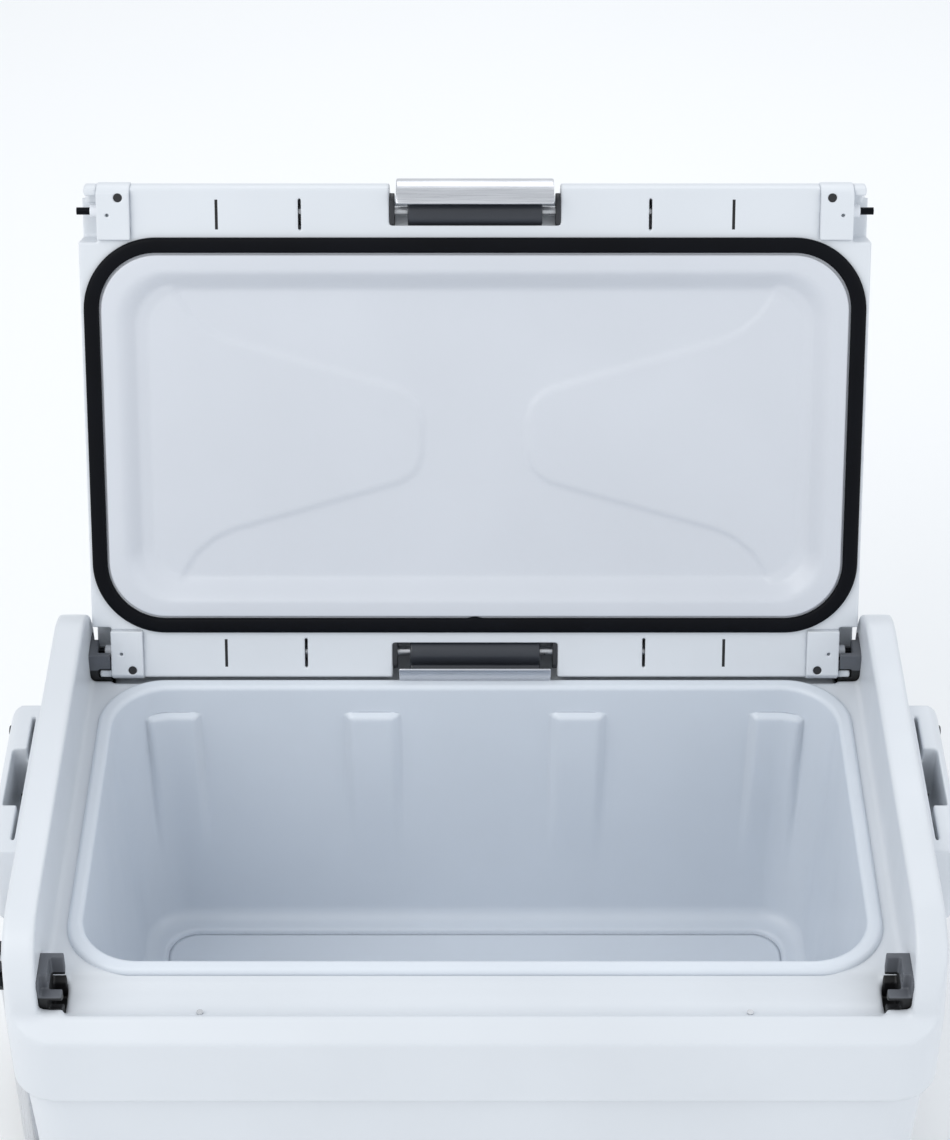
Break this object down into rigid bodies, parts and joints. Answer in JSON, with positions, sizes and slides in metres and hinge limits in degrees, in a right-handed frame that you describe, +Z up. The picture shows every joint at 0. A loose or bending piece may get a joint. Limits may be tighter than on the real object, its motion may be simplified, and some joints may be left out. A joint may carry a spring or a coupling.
{
  "type": "wheeled cooler box",
  "caption": "Hard-sided wheeled cooler with a lid that latches along both long sides, end carry handles, a swing-out tow handle and a drain plug.",
  "frame": {"origin": "on the ground, on the underside of the middle skid rib, below the middle of the tub", "axes": "+X along the box towards the wheel end, +Y towards the side the lid leans back over, +Z up"},
  "size_m": [0.7525, 0.6034, 0.7018],
  "materials": {
    "white_shell": "fine moulded satin",
    "white_liner": "smooth satin, cool white",
    "lid_panel": "smooth satin, cool white",
    "foam": "closed-cell foam",
    "dark_plastic": "fine texture",
    "socket_grey": "fine texture",
    "pin_white": "smooth",
    "steel": "turned",
    "black_screw": "black oxide",
    "tyre_rubber": "moulded tread",
    "hub_plastic": "moulded",
    "handle_grey": "satin",
    "grip_rubber": "soft matt",
    "tow_aluminium": "anodised",
    "brushed_plate": "long-grain brushed",
    "gasket_black": "smooth matt"
  },
  "bodies": {
    "body": {"axle": "steel", "axle_caps": "steel", "axle_tube": "steel", "base_screws": "steel", "base_tray": "dark_plastic", "carry_bracket_left": "white_shell", "carry_bracket_right": "white_shell", "carry_bracket_screws": "steel", "carry_pivot_pins": "steel", "drain_bushing": "pin_white", "foam_core": "foam", "inner_liner": "white_liner", "outer_shell": "white_shell", "rim_buttons": "steel", "socket_front_left": "socket_grey", "socket_front_right": "socket_grey", "socket_rear_left": "socket_grey", "socket_rear_right": "socket_grey", "tow_brackets": "dark_plastic", "tow_pivot_bolts": "steel"},
    "lid": {"lid_shell": "white_shell", "lid_liner": "lid_panel", "lid_foam": "foam", "lid_gasket": "gasket_black", "lid_corner_blocks": "white_shell", "pin_bushes": "pin_white", "block_screws": "black_screw", "latch_cheeks_front": "dark_plastic", "latch_cheeks_rear": "dark_plastic", "pin_spring_front_left": "steel", "pin_spring_front_right": "steel", "pin_spring_rear_left": "steel", "pin_spring_rear_right": "steel"},
    "lever_front": {"lever_drum_front": "handle_grey", "lever_plate_front": "brushed_plate"},
    "lever_rear": {"lever_drum_rear": "handle_grey", "lever_plate_rear": "brushed_plate"},
    "carry_left": {"carry_handle_left": "handle_grey", "carry_grip_left": "grip_rubber"},
    "carry_right": {"carry_handle_right": "handle_grey", "carry_grip_right": "grip_rubber"},
    "tow_handle": {"tow_tube": "tow_aluminium", "tow_grip": "grip_rubber"},
    "wheel_front": {"tyre_front": "tyre_rubber", "wheel_hub_front": "hub_plastic"},
    "wheel_back": {"tyre_back": "tyre_rubber", "wheel_hub_back": "hub_plastic"},
    "drain_cap": {"drain_plug": "dark_plastic", "drain_seal": "gasket_black"},
    "pin_front_left": {"link_rod_front_left": "steel", "hinge_pin_front_left": "steel"},
    "pin_front_right": {"link_rod_front_right": "steel", "hinge_pin_front_right": "steel"},
    "pin_rear_left": {"link_rod_rear_left": "steel", "hinge_pin_rear_left": "steel"},
    "pin_rear_right": {"link_rod_rear_right": "steel", "hinge_pin_rear_right": "steel"}
  },
  "joints": [
    {"name": "lid_hinge", "type": "hinge", "parent": "body", "child": "lid", "pos_m": [0, 0.1842, 0.34], "axis": [1, 0, 0], "range_deg": [0, 114.3]},
    {"name": "lever_front_turn", "type": "hinge", "parent": "lid", "child": "lever_front", "pos_m": [0, 0.3358, 0.67576], "axis": [-1, 0, 0], "range_deg": [0, 30], "stiffness_Nm_per_rad": 0.4},
    {"name": "pin_front_left_slide", "type": "slide", "parent": "lid", "child": "pin_front_left", "axis": [1, 0, 0], "range_m": [0, 0.0121], "deforming": ["pin_spring_front_left"]},
    {"name": "pin_front_right_slide", "type": "slide", "parent": "lid", "child": "pin_front_right", "axis": [-1, 0, 0], "range_m": [0, 0.0121], "deforming": ["pin_spring_front_right"]},
    {"name": "lever_rear_turn", "type": "hinge", "parent": "lid", "child": "lever_rear", "pos_m": [0, 0.1842, 0.34], "axis": [1, 0, 0], "range_deg": [0, 30], "stiffness_Nm_per_rad": 0.4},
    {"name": "pin_rear_left_slide", "type": "slide", "parent": "lid", "child": "pin_rear_left", "axis": [1, 0, 0], "range_m": [0, 0.0121], "deforming": ["pin_spring_rear_left"]},
    {"name": "pin_rear_right_slide", "type": "slide", "parent": "lid", "child": "pin_rear_right", "axis": [-1, 0, 0], "range_m": [0, 0.0121], "deforming": ["pin_spring_rear_right"]},
    {"name": "carry_left_swing", "type": "hinge", "parent": "body", "child": "carry_left", "pos_m": [-0.359, 0, 0.318], "axis": [0, 1, 0], "range_deg": [0, 100]},
    {"name": "carry_right_swing", "type": "hinge", "parent": "body", "child": "carry_right", "pos_m": [0.359, 0, 0.318], "axis": [0, -1, 0], "range_deg": [0, 100]},
    {"name": "tow_swing", "type": "hinge", "parent": "body", "child": "tow_handle", "pos_m": [-0.36, 0, 0.276], "axis": [0, 1, 0], "range_deg": [0, 150]},
    {"name": "wheel_front_spin", "type": "hinge", "parent": "body", "child": "wheel_front", "pos_m": [0.304, -0.193, 0.075], "axis": [0, 1, 0], "continuous": true},
    {"name": "wheel_back_spin", "type": "hinge", "parent": "body", "child": "wheel_back", "pos_m": [0.304, 0.193, 0.075], "axis": [0, 1, 0], "continuous": true},
    {"name": "drain_cap_turn", "type": "hinge", "parent": "body", "child": "drain_cap", "pos_m": [-0.338, 0.084, 0.078], "axis": [-1, 0, 0], "range_deg": [0, 360]}
  ],
  "couplings": [
    {"joint": "pin_front_left_slide", "follows": "lever_front_turn", "m_per_rad": 0.022918},
    {"joint": "pin_front_right_slide", "follows": "lever_front_turn", "m_per_rad": 0.022918},
    {"joint": "pin_rear_left_slide", "follows": "lever_rear_turn", "m_per_rad": 0.022918},
    {"joint": "pin_rear_right_slide", "follows": "lever_rear_turn", "m_per_rad": 0.022918}
  ]
}
